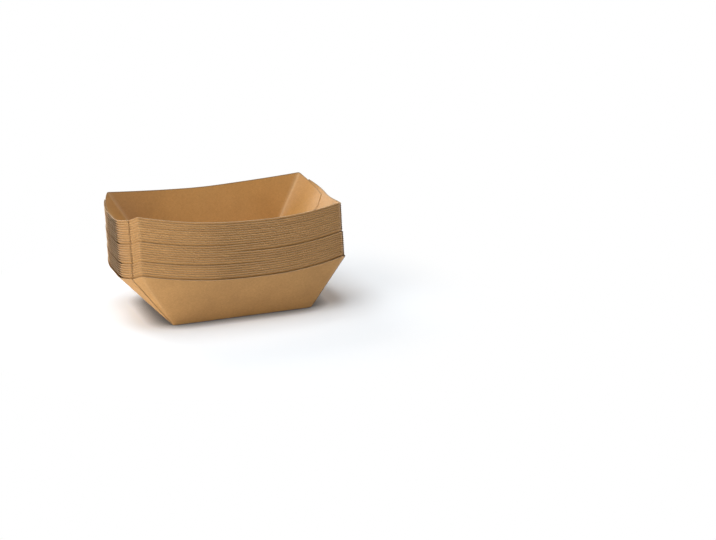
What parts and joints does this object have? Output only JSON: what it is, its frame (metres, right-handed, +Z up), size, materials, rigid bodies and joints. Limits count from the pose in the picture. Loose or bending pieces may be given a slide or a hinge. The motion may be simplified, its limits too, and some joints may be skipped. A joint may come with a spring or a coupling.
{
  "type": "stack of cardboard trays",
  "caption": "Nested stack of open kraft paperboard food trays with flared, bowed walls, standing on the bottom tray's flat floor.",
  "frame": {"origin": "on the standing surface, under the middle of the whole stack's box", "axes": "+X along the trays towards their right ends in the picture, +Y from the wall facing the camera to the far wall, +Z up"},
  "size_m": [0.1728, 0.1072, 0.0852],
  "materials": {
    "kraft_board": "matte, natural brown kraft paperboard"
  },
  "bodies": {
    "root": {"tray_01": "kraft_board", "tray_02": "kraft_board", "tray_03": "kraft_board", "tray_04": "kraft_board", "tray_05": "kraft_board", "tray_06": "kraft_board", "tray_07": "kraft_board", "tray_08": "kraft_board", "tray_09": "kraft_board", "tray_10": "kraft_board", "tray_11": "kraft_board", "tray_12": "kraft_board", "tray_13": "kraft_board", "tray_14": "kraft_board", "tray_15": "kraft_board", "tray_16": "kraft_board", "tray_17": "kraft_board", "tray_18": "kraft_board", "tray_19": "kraft_board", "tray_20": "kraft_board", "tray_21": "kraft_board", "tray_22": "kraft_board", "tray_23": "kraft_board", "tray_24": "kraft_board", "tray_25": "kraft_board"}
  },
  "joints": []
}
